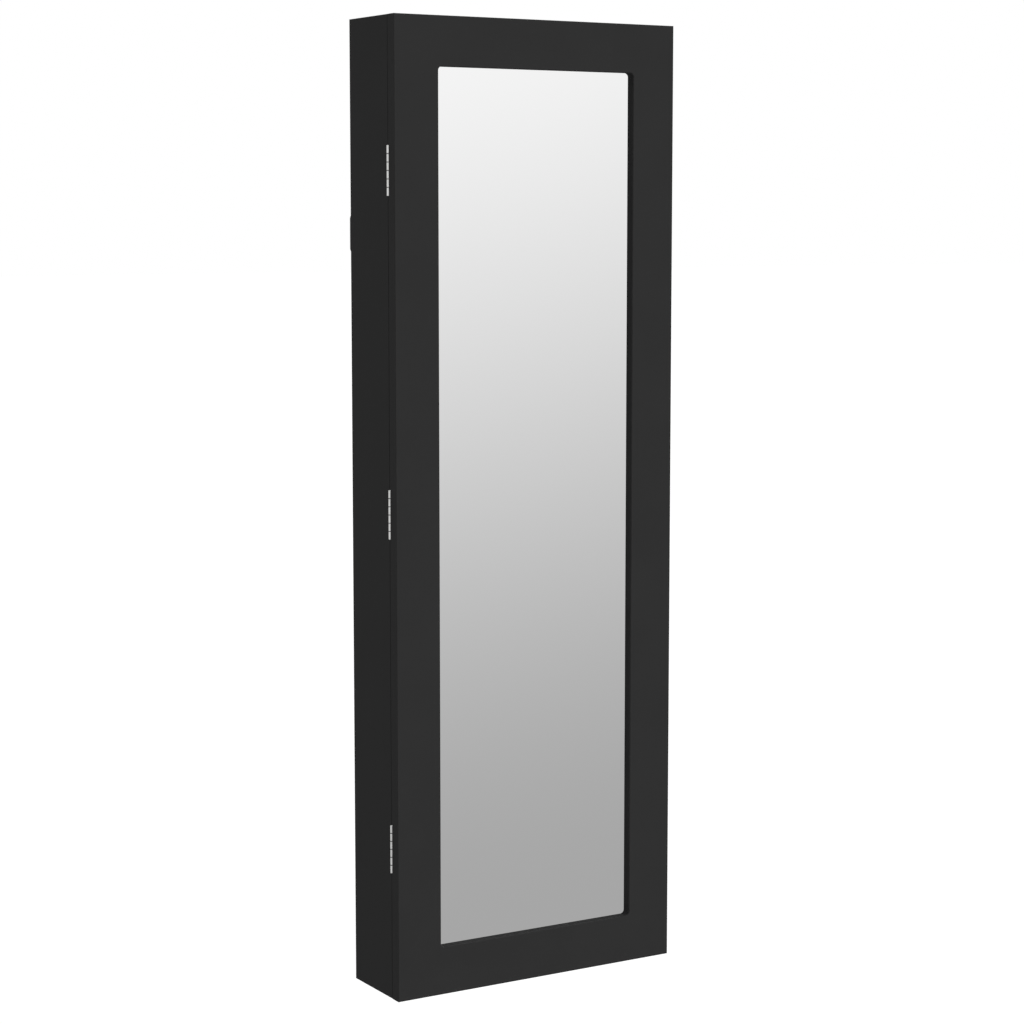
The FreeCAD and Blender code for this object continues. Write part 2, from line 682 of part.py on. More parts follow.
# Hanging plates: steel plates on the rear edges of the sides, with a keyhole beside the back recess.
PLATE_MIDDLE = "(dim.keyhole_rise / 2)"
plate_low = f"({PLATE_MIDDLE} - dim.plate_height / 2)"
plate_high = f"({PLATE_MIDDLE} + dim.plate_height / 2)"
plate_screws = []
for side, sign in (("left", "-"), ("right", "")):
    label = f"hanging_plate_{side}"
    edge_x = f"{sign}{OUTER}"
    free_x = f"{sign}({OUTER} - dim.plate_width)"
    across = (edge_x, free_x) if side == "left" else (free_x, edge_x)
    body = doc.addObject("PartDesign::Body", f"{label}_blank")
    outline = sketch_on(body, "XZ_Plane", "0")
    round_rectangle(outline, across, (plate_low, plate_high), "dim.plate_radius")
    pad(body, outline, "dim.plate_thick")
    keyhole_x = f"{sign}({OUTER} - dim.plate_width + dim.keyhole_margin)"
    through = ("-2 * dim.plate_thick", "dim.plate_thick")
    slot_x = (f"{keyhole_x} - dim.keyhole_slot / 2", f"{keyhole_x} + dim.keyhole_slot / 2")
    bore_length = "3 * dim.plate_thick"
    entry = (keyhole_x, "dim.plate_thick", "0")
    seat = (keyhole_x, "dim.plate_thick", "dim.keyhole_rise")
    keyhole = [
        cylinder(f"{label}_entry", "dim.keyhole_radius", bore_length, entry, FORWARD),
        block(f"{label}_slot", slot_x, through, ("0", "dim.keyhole_rise")),
        cylinder(f"{label}_seat", "dim.keyhole_slot / 2", bore_length, seat, FORWARD),
    ]
    screw_x = f"{sign}({OUTER} - (dim.panel_thick - dim.groove_depth) / 2)"
    points = [(screw_x, "0", f"{PLATE_MIDDLE} + {turn} * dim.plate_screw_pitch / 2") for turn in (-1, 1)]
    plate_screws += drive(plate_screw, points, FORWARD, [label, f"{side}_side_panel"])
    node(label, cut(f"{label}_bored", body, keyhole + cutters.pop(label)))
node("hanging_plate_screws", plate_screws)

# Wall pads: round felt discs low on the rear edges, as thick as the hanging plates.
pad_points = [(f"{sign}{PANEL_MIDDLE}", "0", f"{BASE} + dim.pad_height") for sign in ("-", "")]
felt = cylinder("wall_pad_master", "dim.pad_radius", "dim.plate_thick", ("0", "0", "0"), FORWARD)
node("lower_wall_pads", copies(felt, pad_points, FreeCAD.Rotation(UP, FORWARD)))

# Magnetic catches: a housing on the right side with a magnet between two pole plates.
strike_rear = f"({DOOR_BACK} + dim.strike_thick)"
pole_front = f"({strike_rear} + dim.strike_gap)"
catch_front = f"({pole_front} + dim.pole_proud)"
catch_rear = f"({catch_front} + dim.catch_depth)"
catch_inner = f"({INNER} - dim.catch_width)"
catch_middle = f"({INNER} - dim.catch_width / 2)"
half_magnet = "(dim.magnet_thick / 2)"
half_stack = "(dim.magnet_thick / 2 + dim.pole_thick)"
half_length = "(dim.magnet_length / 2)"
magnet_rear = f"({catch_front} + dim.magnet_depth)"
housings = []
magnets = []
poles = []
catch_screws = []
strikes = []
strike_screws = []
for level, middle in (
    ("upper", f"({ROOF} - dim.catch_upper_drop)"),
    ("lower", f"({BASE} + dim.lower_shelf_height + dim.shelf_thick + dim.catch_lower_rise)"),
):
    label = f"catch_{level}"
    length = (f"{middle} - dim.catch_length / 2", f"{middle} + dim.catch_length / 2")
    case = block(f"{label}_case", (catch_inner, INNER), (catch_front, catch_rear), length)
    room_x = f"({half_stack} + 3 * dim.magnet_clear)"
    room_z = f"({half_length} + dim.magnet_clear)"
    room = block(
        f"{label}_room",
        (f"{catch_middle} - {room_x}", f"{catch_middle} + {room_x}"),
        (f"({pole_front} - dim.pole_proud)", f"({magnet_rear} + dim.magnet_clear)"),
        (f"{middle} - {room_z}", f"{middle} + {room_z}"),
    )
    screw_y = f"{catch_front} + dim.catch_depth / 2"
    screw_reach = "(dim.catch_length / 2 - dim.catch_screw_inset)"
    points = [(catch_inner, screw_y, f"{middle} + {turn} * {screw_reach}") for turn in (-1, 1)]
    catch_screws += drive(catch_screw, points, RIGHT, [label, "right_side_panel"])
    housings.append(cut(f"{label}_housing", case, [room] + cutters.pop(label)))
    upright = (f"{middle} - {half_length}", f"{middle} + {half_length}")
    magnet_x = (f"{catch_middle} - {half_magnet}", f"{catch_middle} + {half_magnet}")
    magnets.append(block(f"{label}_magnet", magnet_x, (catch_front, magnet_rear), upright))
    for side, sign in (("inner", "-"), ("outer", "+")):
        near = f"({catch_middle} {sign} ({half_magnet} + dim.magnet_clear))"
        far = f"({catch_middle} {sign} ({half_stack} + dim.magnet_clear))"
        limits = (far, near) if side == "inner" else (near, far)
        poles.append(block(f"{label}_{side}_pole", limits, (pole_front, magnet_rear), upright))
    strike_label = f"strike_{level}"
    strike_x = (f"{catch_middle} - dim.strike_width / 2", f"{catch_middle} + dim.strike_width / 2")
    strike_z = (f"{middle} - dim.strike_length / 2", f"{middle} + dim.strike_length / 2")
    plate = block(f"{strike_label}_plate", strike_x, (DOOR_BACK, strike_rear), strike_z)
    screw_reach = "(dim.strike_length / 2 - dim.strike_screw_inset)"
    points = [(catch_middle, strike_rear, f"{middle} + {turn} * {screw_reach}") for turn in (-1, 1)]
    strike_screws += drive(strike_screw, points, FORWARD, [strike_label, "door_frame"])
    strikes.append(cut(f"{strike_label}_sunk", plate, cutters.pop(strike_label)))
node("catch_housings", housings)
node("catch_magnets", magnets)
node("catch_pole_plates", poles)
node("catch_screws", catch_screws)
node("strike_plates", strikes)
node("strike_plate_screws", strike_screws)

# Door: one routed board with a rabbet for the glass, and a thin board screwed on behind it.
door_across = (f"-{OUTER}", OUTER)
body, raised = board("door_frame", "XZ_Plane", f"-{DOOR_BACK}", door_across, (BASE, ROOF), "dim.door_thick")
window = sketch_on(body, "XZ_Plane", f"-{DOOR_FRONT}")
round_rectangle(window, (f"-{WINDOW_X}", WINDOW_X), (WINDOW_LOW, WINDOW_HIGH), "dim.window_radius")
opened = pocket(body, window, "dim.door_thick", along_normal=False)
round_edges(body, opened, lambda edge: edge_lies_at(edge, "Y", DOOR_FRONT))
RABBET = "(dim.mirror_lap + dim.mirror_clear)"
rabbet = sketch_on(body, "XZ_Plane", f"-{DOOR_BACK}")
round_rectangle(
    rabbet,
    (f"-({WINDOW_X} + {RABBET})", f"{WINDOW_X} + {RABBET}"),
    (f"{WINDOW_LOW} - {RABBET}", f"{WINDOW_HIGH} + {RABBET}"),
    "dim.window_radius",
)
pocket(body, rabbet, "dim.mirror_thick", along_normal=True)
blanks["door_frame"] = body

glass = doc.addObject("PartDesign::Body", "mirror_glass_sheet")
outline = sketch_on(glass, "XZ_Plane", f"-{DOOR_BACK}")
round_rectangle(
    outline,
    (f"-({WINDOW_X} + dim.mirror_lap)", f"{WINDOW_X} + dim.mirror_lap"),
    (f"{WINDOW_LOW} - dim.mirror_lap", f"{WINDOW_HIGH} + dim.mirror_lap"),
    "dim.window_radius",
)
pad(glass, outline, "dim.mirror_thick")
node("mirror_glass", glass)

BACKING_LAP = f"({RABBET} + dim.backing_seat)"
backing_x = f"({WINDOW_X} + {BACKING_LAP})"
backing_low = f"({WINDOW_LOW} - {BACKING_LAP})"
backing_high = f"({WINDOW_HIGH} + {BACKING_LAP})"
blanks["door_backing_board"] = block(
    "door_backing_blank", (f"-{backing_x}", backing_x), (DOOR_BACK, BACKING_REAR), (backing_low, backing_high)
)
screw_x = f"({backing_x} - dim.backing_seat / 2)"
rows = count("backing_screw_count")
row_pitch = f"(({backing_high} - {backing_low}) / {rows})"
backing_points = []
for sign in ("-", ""):
    for row in range(rows):
        height = f"{backing_low} + ({row} + 1 / 2) * {row_pitch}"
        backing_points.append((f"{sign}{screw_x}", BACKING_REAR, height))
    for height in (f"{backing_low} + dim.backing_seat / 2", f"{backing_high} - dim.backing_seat / 2"):
        backing_points.append((f"{sign}{WINDOW_X} / 2", BACKING_REAR, height))
driven = drive(backing_screw, backing_points, FORWARD, ["door_backing_board", "door_frame"])
node("backing_board_screws", driven)

# Earring bars: bent wires inside the door, their ends sunk in the backing board.
bar_end = f"({backing_x} - dim.bar_inset)"
bar_corner = f"({bar_end} - dim.bar_bend)"
leg_top = "(dim.bar_standoff - dim.bar_bend)"
leg_length = f"dim.bar_seat + {leg_top}"
span_start = (f"-{bar_corner}", "dim.bar_standoff", "0")
bar = fuse("earring_bar_master", [
    cylinder("bar_left_leg", "dim.bar_wire", leg_length, (f"-{bar_end}", "-dim.bar_seat", "0"), REARWARD),
    elbow("bar_left_bend", "dim.bar_wire", "dim.bar_bend", (f"-{bar_corner}", leg_top, "0"), LEFT, REARWARD),
    cylinder("bar_span", "dim.bar_wire", f"2 * {bar_corner}", span_start, RIGHT),
    elbow("bar_right_bend", "dim.bar_wire", "dim.bar_bend", (bar_corner, leg_top, "0"), RIGHT, REARWARD),
    cylinder("bar_right_leg", "dim.bar_wire", leg_length, (bar_end, "-dim.bar_seat", "0"), REARWARD),
])
bar_top = f"{ROOF} - dim.bar_drop"
bar_heights = [f"{bar_top} - {index} * dim.bar_pitch" for index in range(count("bar_count"))]
node("earring_bars", copies(bar, [("0", BACKING_REAR, height) for height in bar_heights]))
bar_socket = cylinder(
    "bar_socket_master", "dim.bar_wire + dim.bar_clear", "2 * dim.bar_seat", ("0", "0", "0"), REARWARD
)
socket_y = f"{BACKING_REAR} - dim.bar_seat"
socket_points = [(f"{sign}{bar_end}", socket_y, height) for sign in ("-", "") for height in bar_heights]
hollow("door_backing_board", copies(bar_socket, socket_points, FreeCAD.Rotation(UP, REARWARD)))

# Hinges: two leaves let into the door and the left side, rolled in turn round one pin.
knuckles = count("knuckle_count")
KNUCKLE = f"(dim.hinge_length / {knuckles})"
LEAF_SIDES = {
    "cabinet": ("left_side_panel", "+", REARWARD, 0),
    "door": ("door_frame", "-", FORWARD, 1),
}
LEAF_X = (PIN_X, f"({PIN_X} + dim.leaf_width)")
RECESS_X = (f"({PIN_X} - dim.barrel_radius)", f"({PIN_X} + dim.leaf_width + dim.leaf_edge_clear)")
hinge_screws = {"cabinet": [], "door": []}
top_hinge = f"({ROOF} - dim.hinge_top_inset)"
bottom_hinge = f"({BASE} + dim.hinge_bottom_inset)"
middle_hinge = f"(({top_hinge} + {bottom_hinge}) / 2)"
for level, hinge_middle in (("top", top_hinge), ("middle", middle_hinge), ("bottom", bottom_hinge)):
    hinge_low = f"({hinge_middle} - dim.hinge_length / 2)"
    hinge_high = f"({hinge_middle} + dim.hinge_length / 2)"
    recess_z = (f"({hinge_low} - dim.leaf_edge_clear)", f"({hinge_high} + dim.leaf_edge_clear)")
    barrel_room = cylinder(
        f"hinge_{level}_barrel_room",
        "dim.barrel_radius + dim.barrel_clear",
        "dim.hinge_length + 2 * dim.leaf_edge_clear",
        (PIN_X, PIN_Y, recess_z[0]),
    )
    bore = cylinder(
        f"hinge_{level}_bore", "dim.pin_radius + dim.pin_clear", "dim.hinge_length", (PIN_X, PIN_Y, hinge_low)
    )
    pin = cylinder(f"hinge_{level}_pin_rod", "dim.pin_radius", "dim.hinge_length", (PIN_X, PIN_Y, hinge_low))
    node(f"hinge_{level}_pin", pin)
    for side, (host, sign, direction, first_knuckle) in LEAF_SIDES.items():
        label = f"hinge_{level}_{side}_leaf"
        near_y = f"({PIN_Y} {sign} dim.leaf_clear / 2)"
        far_y = f"({near_y} {sign} dim.leaf_thick)"
        leaf_y = (near_y, far_y) if sign == "+" else (far_y, near_y)
        recess_y = (PIN_Y, far_y) if sign == "+" else (far_y, PIN_Y)
        hollow(host, [block(f"{label}_recess", RECESS_X, recess_y, recess_z), barrel_room])
        own_knuckles = []
        other_knuckles = []
        for number in range(knuckles):
            start = f"{hinge_low} + {number} * {KNUCKLE}"
            if number % 2 == first_knuckle:
                own_knuckles.append(cylinder(
                    f"{label}_knuckle_{number}",
                    "dim.barrel_radius",
                    f"{KNUCKLE} - dim.knuckle_gap",
                    (PIN_X, PIN_Y, f"{start} + dim.knuckle_gap / 2"),
                ))
            else:
                other_knuckles.append(cylinder(
                    f"{label}_notch_{number}",
                    "dim.barrel_radius + dim.knuckle_gap",
                    f"{KNUCKLE} + dim.knuckle_gap",
                    (PIN_X, PIN_Y, f"{start} - dim.knuckle_gap / 2"),
                ))
        plate = block(f"{label}_plate", LEAF_X, leaf_y, (hinge_low, hinge_high))
        notched = cut(f"{label}_notched", plate, other_knuckles)
        rolled = fuse(f"{label}_rolled", [notched] + own_knuckles)
        points = [
            (f"{PIN_X} + dim.leaf_screw_reach", near_y, f"{hinge_middle} + {turn} * dim.leaf_screw_pitch / 2")
            for turn in (-1, 1)
        ]
        hinge_screws[side] += drive(hinge_screw, points, direction, [label, host])
        node(label, cut(f"{label}_bored", rolled, [bore] + cutters.pop(label)))
for side, driven in hinge_screws.items():
    node(f"hinge_{side}_screws", driven)

# Boards: each gives way to the grooves, sockets, recesses and holes noted above.
for label, blank in blanks.items():
    node(label, cut(f"{label}_cut", blank, cutters.pop(label)))
if cutters:
    raise RuntimeError(f"holes were noted for unknown boards: {sorted(cutters)}")

doc.recompute()
failed = [thing.Name for thing in doc.Objects if {"Invalid", "Error"} & set(thing.State)]
if failed:
    raise RuntimeError(f"these objects failed: {failed}")
for label, thing in nodes.items():
    if thing.Shape.isNull() or not thing.Shape.isValid():
        raise RuntimeError(f"{label} has no valid shape")

os.makedirs("parts", exist_ok=True)
for label, thing in nodes.items():
    thing.Shape.exportStep(os.path.join("parts", f"{label}.step"))
    print(label, len(thing.Shape.Solids), round(thing.Shape.Volume, 1))
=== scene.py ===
"""Looks of a slim wall-hung mirror cabinet, dressed piece by piece as it is put together.

Metres. +X is to the right seen from the front, +Y runs into the wall and +Z is up.
The origin lies on the wall, midway between the entry holes of the two hanging plates.
"""
import math

import bpy
import numpy as np
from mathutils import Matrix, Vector


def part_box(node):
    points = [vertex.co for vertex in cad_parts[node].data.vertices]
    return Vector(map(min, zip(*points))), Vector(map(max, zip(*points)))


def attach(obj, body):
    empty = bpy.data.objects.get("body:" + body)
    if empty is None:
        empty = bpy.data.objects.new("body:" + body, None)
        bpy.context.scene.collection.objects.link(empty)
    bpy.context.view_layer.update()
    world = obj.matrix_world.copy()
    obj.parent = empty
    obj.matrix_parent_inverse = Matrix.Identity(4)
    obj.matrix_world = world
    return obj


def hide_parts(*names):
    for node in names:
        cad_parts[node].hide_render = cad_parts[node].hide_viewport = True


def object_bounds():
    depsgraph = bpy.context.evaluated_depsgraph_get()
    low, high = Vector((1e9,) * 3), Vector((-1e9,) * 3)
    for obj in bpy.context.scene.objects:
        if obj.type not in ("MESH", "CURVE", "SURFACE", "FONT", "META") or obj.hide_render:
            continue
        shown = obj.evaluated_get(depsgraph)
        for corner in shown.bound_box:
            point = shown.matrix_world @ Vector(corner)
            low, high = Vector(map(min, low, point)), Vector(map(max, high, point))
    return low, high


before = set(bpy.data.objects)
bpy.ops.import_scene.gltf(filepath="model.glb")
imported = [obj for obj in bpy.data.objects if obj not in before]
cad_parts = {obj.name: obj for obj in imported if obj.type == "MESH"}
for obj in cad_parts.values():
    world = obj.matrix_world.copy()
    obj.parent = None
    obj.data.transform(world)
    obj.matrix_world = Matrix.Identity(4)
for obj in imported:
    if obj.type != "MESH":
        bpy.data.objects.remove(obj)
solid_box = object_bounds()


# Box: two full-height sides with the top and bottom doweled between them. Fibreboard of 12 mm, its
# outer edges eased, filled and sprayed matt black all over. The rear edges go to the wall, so they get
# one thin coat only, and the brown fibre shows through it a little.
MM = 0.001
SHADER = "Principled BSDF"
MIX_FACTOR, MIX_FIRST, MIX_SECOND = 0, 6, 7
MIX_COLOUR_RESULT = 2


class Signal:
    """One socket of a finish: sums on it add Math nodes, and node() adds any other kind."""

    def __init__(self, socket):
        self.socket = socket

    def node(self, kind, settings, inputs, output=0):
        """Add a node of this kind: its settings first, then the values or links of its sockets."""
        tree = self.socket.id_data
        added = tree.nodes.new(kind)
        for name, setting in settings.items():
            setattr(added, name, setting)
        for name, given in inputs.items():
            if isinstance(given, Signal):
                tree.links.new(given.socket, added.inputs[name])
            else:
                added.inputs[name].default_value = given
        return Signal(added.outputs[output])

    def math(self, operation, *others):
        """Add a Math node on this signal, then on numbers or signals that its operation also takes."""
        return self.node("ShaderNodeMath", {"operation": operation}, dict(enumerate((self, *others))))

    def __add__(self, other):
        return self.math("ADD", other)

    def __radd__(self, other):
        return self.math("ADD", other)

    def __sub__(self, other):
        return self.math("SUBTRACT", other)

    def __rsub__(self, other):
        return self.node("ShaderNodeMath", {"operation": "SUBTRACT"}, {0: other, 1: self})

    def __mul__(self, other):
        return self.math("MULTIPLY", other)

    def __rmul__(self, other):
        return self.math("MULTIPLY", other)

    def mixed(self, first, second):
        """Mix two colours: the first where this signal is 0, the second where it is 1."""
        inputs = {MIX_FACTOR: self, MIX_FIRST: first, MIX_SECOND: second}
        return self.node("ShaderNodeMix", {"data_type": "RGBA"}, inputs, MIX_COLOUR_RESULT)

    def along(self, axis):
        """Take one coordinate of a place."""
        return self.node("ShaderNodeSeparateXYZ", {}, {"Vector": self}, axis)

    def grain(self, size, layers):
        """Add noise round one half, with lumps of this size and a number of finer layers on them."""
        inputs = {"Vector": self, "Scale": 1 / size, "Detail": layers}
        return self.node("ShaderNodeTexNoise", {}, inputs, "Fac")

    def streaks(self, lengths, layers):
        """Add noise round one half, with lumps drawn out to these lengths along X, Y and Z."""
        scale = [1 / length for length in lengths]
        return self.node("ShaderNodeMapping", {}, {"Vector": self, "Scale": scale}).grain(1, layers)

    def rise(self, start, end):
        """Go smoothly from 0 at one value of this signal to 1 at another."""
        inputs = {"Value": self, "From Min": start, "From Max": end}
        return self.node("ShaderNodeMapRange", {"interpolation_type": "SMOOTHSTEP"}, inputs)

    def relief(self, depth):
        """Turn this signal into a surface relief, as deep as this where it goes from 0 to 1."""
        return self.node("ShaderNodeBump", {}, {"Height": self, "Distance": depth}, "Normal")


def new_finish(name, plain):
    """Start a finish: values that are the same all over go onto the shader, its place is returned."""
    material = bpy.data.materials.new(name)
    material.use_nodes = True
    shader = material.node_tree.nodes[SHADER]
    for socket, setting in plain.items():
        shader.inputs[socket].default_value = setting
    coordinates = material.node_tree.nodes.new("ShaderNodeTexCoord")
    return material, Signal(coordinates.outputs["Object"])


def vary(material, varying):
    """Link what changes over a surface to its shader; a number in a sum is the share of its signal."""
    tree = material.node_tree
    for socket, signal in varying.items():
        tree.links.new(signal.socket, tree.nodes[SHADER].inputs[socket])


def dress(material, *names):
    """Give solids of the cabinet this finish."""
    for name in names:
        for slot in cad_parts[name].material_slots:
            slot.material = material


# Noise keeps near one half. Stretched to go from 0 at the first value to 1 at the second, it makes
# patches that run softly into each other.
SOFT = (0.3, 0.7)
PAINT_DARK = (0.0234, 0.0234, 0.0235, 1)
PAINT_LIGHT = (0.0252, 0.0252, 0.0253, 1)
PAINT_ROUGHNESS = 0.66
CLOUD_SIZE = 70 * MM
PEEL_SIZE = 1.4 * MM
PEEL_DEPTH = 0.05 * MM
DUST_SIZE = 0.3 * MM
RAW_FIBRE = (3 * MM, 0.6 * MM, 3 * MM)
THIN_COAT = (0.046, 0.037, 0.031, 1)
THIN_COAT_DEPTH = 0.4 * MM


def sprayed_paint(name, drunk_coat_and_shade, raw_edge_and_shade):
    """Matt spray paint with a faint orange peel and fine dust in it.

    raw_edge_and_shade gives, for a place, from 0 to 1, how far raw fibre has drunk the paint there; on the
    door it gives instead the painted shade in the window's reveal. The colour then goes over to that of the
    given coat, the thin coat or the painted shade, and the surface gets rougher and furry.
    """
    material, place = new_finish(name, {"Specular IOR Level": 0.05})
    cloud = place.grain(CLOUD_SIZE, 3).rise(*SOFT)
    peel = place.grain(PEEL_SIZE, 1)
    dust = place.grain(DUST_SIZE, 0)
    # On the door this mask is the painted shade of the window's reveal; on the box it is the raw rear edge.
    edge = raw_edge_and_shade(place)
    fibre = place.streaks(RAW_FIBRE, 3).rise(*SOFT)
    colour = cloud.mixed(PAINT_DARK, PAINT_LIGHT)
    vary(material, {
        "Base Color": (edge * (0.6 + 0.4 * fibre)).mixed(colour, drunk_coat_and_shade),
        "Roughness": PAINT_ROUGHNESS + 0.06 * cloud + 0.08 * dust + 0.15 * edge,
        "Normal": (peel + 0.35 * dust + 0.8 * edge * fibre).relief(PEEL_DEPTH),
    })
    return material


def rear_edge(place):
    """1 on the edges that lie against the wall."""
    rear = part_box("left_side_panel")[1].y
    return place.along("Y").rise(rear - THIN_COAT_DEPTH, rear)


box_paint = sprayed_paint("matt_black_paint", THIN_COAT, rear_edge)
dress(box_paint, "left_side_panel", "right_side_panel", "top_panel", "bottom_panel")

# Corner and shelf dowels: turned beech pegs, glued half in the sides and half in the board they carry.
# Straight grain runs along each peg, with short dark flecks.
BEECH_PALE = (0.62, 0.44, 0.27, 1)
BEECH_DARK = (0.46, 0.29, 0.16, 1)
BEECH_GRAIN = (14 * MM, 0.8 * MM, 0.8 * MM)
BEECH_GRAIN_EDGE = (0.35, 0.65)
BEECH_GRAIN_DEPTH = 0.05 * MM
FLECK = (0.30, 0.17, 0.09, 1)
FLECK_LENGTHS = (2.4 * MM, 0.35 * MM, 0.35 * MM)
FLECK_EDGE = (0.62, 0.72)
beech, place = new_finish("beech", {"Roughness": 0.62})
streak = place.streaks(BEECH_GRAIN, 3)
fleck = place.streaks(FLECK_LENGTHS, 1).rise(*FLECK_EDGE)
wood = streak.rise(*BEECH_GRAIN_EDGE).mixed(BEECH_PALE, BEECH_DARK)
vary(beech, {
    "Base Color": fleck.mixed(wood, FLECK),
    "Normal": (streak - 0.5 * fleck).relief(BEECH_GRAIN_DEPTH),
})
dress(beech, "corner_dowels", "shelf_dowels")

# Back panel: a hardboard sheet of 3 mm slid into a groove all round. Its face is pressed smooth and
# rolled with black paint, a little uneven; its back keeps the brown-black print of the wire screen that
# it was pressed on.
BOARD_FACE_DARK = (0.0135, 0.0135, 0.0136, 1)
BOARD_FACE_LIGHT = (0.0290, 0.0290, 0.0293, 1)
BOARD_BACK_DARK = (0.026, 0.020, 0.016, 1)
BOARD_BACK_LIGHT = (0.060, 0.045, 0.034, 1)
BOARD_ROUGHNESS = 0.46
BOARD_FIBRE = (7 * MM, 7 * MM, 1.2 * MM)
ROLLER_STRIPES = (32 * MM, 32 * MM, 260 * MM)
PATCH_SIZE = 120 * MM
MOTTLE_SIZE = 2.6 * MM
SPECK_SIZE = 0.5 * MM
SCREEN_PITCH = 1.7 * MM
SCREEN_WAVES = 2 * math.pi / SCREEN_PITCH
SCREEN_DEPTH = 0.12 * MM


def pressed_hardboard(name, face, back):
    """Hardboard with a smooth painted face, and a screen print of crossed waves on its back.

    The paint was rolled on up and down, so its stripes are long, and the fibre mottles it finely. The
    face goes over to the back between the middle of the board and its back.
    """
    material, place = new_finish(name, {"Specular IOR Level": 0.22})
    printed = place.along("Y").rise((face + back) / 2, back)
    weft = (place.along("X") * SCREEN_WAVES).math("SINE")
    warp = (place.along("Z") * SCREEN_WAVES).math("SINE")
    screen = 0.5 + 0.5 * weft * warp
    fibre = place.streaks(BOARD_FIBRE, 4).rise(*SOFT)
    patch = place.grain(PATCH_SIZE, 3).rise(*SOFT)
    brown = (0.55 * fibre + 0.45 * patch).mixed(BOARD_BACK_DARK, BOARD_BACK_LIGHT)
    speck = place.grain(SPECK_SIZE, 2)
    stripe = place.streaks(ROLLER_STRIPES, 3).rise(*SOFT)
    mottle = place.grain(MOTTLE_SIZE, 3).rise(*SOFT)
    paint = (0.35 * patch + 0.35 * stripe + 0.3 * mottle).mixed(BOARD_FACE_DARK, BOARD_FACE_LIGHT)
    vary(material, {
        "Base Color": printed.mixed(paint, brown),
        "Roughness": BOARD_ROUGHNESS + 0.1 * speck + 0.12 * stripe + 0.22 * printed + 0.08 * patch,
        "Normal": (printed * (screen + 0.6 * fibre) + 0.15 * speck + 0.2 * mottle).relief(SCREEN_DEPTH),
    })
    return material


panel_front, panel_rear = (corner.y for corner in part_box("back_panel"))
dress(pressed_hardboard("back_hardboard", panel_front, panel_rear), "back_panel")

# Shelves, hook strip and ring tray: boards coated with glue and dusted with short black fibres, which
# stand on end like velvet. The pile leans one way or the other in soft patches where it was touched.
FLOCK_DARK = (0.012, 0.012, 0.013, 1)
FLOCK_LIGHT = (0.032, 0.031, 0.033, 1)
FLOCK_SHEEN = 0.16
FLOCK_NAP = (60 * MM, 30 * MM, 30 * MM)
NAP_EDGE = (0.34, 0.66)
PILE_SHEEN = (0.72, 0.72, 0.76, 1)
PILE_ROUGHNESS = 0.86
PILE_SIZE = 0.32 * MM
PILE_DEPTH = 0.14 * MM
CLUMP_SIZE = 1.8 * MM


def short_pile(name, dark, light, sheen, nap_lengths):
    """Black flock or velvet: fine pile, lighter where the nap leans, with the sheen of fibre tips."""
    material, place = new_finish(name, {
        "Specular IOR Level": 0.1,
        "Sheen Weight": sheen,
        "Sheen Roughness": 0.38,
        "Sheen Tint": PILE_SHEEN,
    })
    nap = place.streaks(nap_lengths, 3).rise(*NAP_EDGE)
    pile = place.grain(PILE_SIZE, 2)
    clump = place.grain(CLUMP_SIZE, 2)
    vary(material, {
        "Base Color": (0.55 * nap + 0.9 * (pile - 0.3) * clump).mixed(dark, light),
        "Roughness": PILE_ROUGHNESS + 0.12 * pile,
        "Normal": (pile + 0.5 * clump).relief(PILE_DEPTH),
    })
    return material


flock = short_pile("black_flock", FLOCK_DARK, FLOCK_LIGHT, FLOCK_SHEEN, FLOCK_NAP)
dress(flock, "ring_shelf", "middle_shelf", "lower_shelf", "necklace_hook_strip", "ring_tray")

# Ring rolls: seven foam rolls in black velvet, laid side by side in the tray so that rings are pinched
# between them. The velvet is drawn tight round the foam, with its spare cloth gathered at the ends.
ROLL_COUNT = 7
ROLL_ROWS = 96
ROLL_AROUND = 24
ROLL_SEED = 7
CAP_ROWS = 4
SHOULDER_ROWS = 4
SHOULDER_SHARE = 0.45
SLACK = 0.5 * MM
SWELL_LIMIT = 0.45 * MM
DENT_WAVES_AND_TURNS = ((9, 1), (23, -2), (41, 3))
DENT_SHARE = 0.006
GATHERS = 11
GATHER_DEPTH = 0.35 * MM
VELVET_DARK = (0.022, 0.022, 0.024, 1)
VELVET_LIGHT = (0.055, 0.054, 0.058, 1)
VELVET_SHEEN = 0.6
VELVET_NAP = (18 * MM, 12 * MM, 12 * MM)


def closed_shells(name, rings):
    """Join rings of points to closed shells; the first and last ring of each shell are its two poles.

    rings is an array of shells, rings in a shell, points in a ring and coordinates. Each ring is
    joined to the next by quads, and the poles to their neighbours by triangles.
    """
    shells, rows, around = rings.shape[:3]
    inner = rings[:, 1:-1].reshape(shells, -1, 3)
    points = np.concatenate([rings[:, :1, 0], inner, rings[:, -1:, 0]], axis=1)
    here = np.arange(around)
    ahead = (here + 1) % around
    starts = 1 + around * np.arange(rows - 3)[:, None]
    quads = np.stack([starts + here, starts + ahead, starts + around + ahead, starts + around + here], -1)
    last_start = 1 + around * (rows - 3)
    last = points.shape[1] - 1
    first_fan = np.stack([np.zeros_like(here), ahead + 1, here + 1], -1)
    last_fan = np.stack([np.full_like(here, last), last_start + here, last_start + ahead], -1)
    faces = []
    for shell in range(shells):
        offset = shell * points.shape[1]
        for block in (quads.reshape(-1, 4), first_fan, last_fan):
            faces += (block + offset).tolist()
    mesh = bpy.data.meshes.new(name)
    mesh.from_pydata(points.reshape(-1, 3).tolist(), [], faces)
    mesh.shade_smooth()
    return mesh


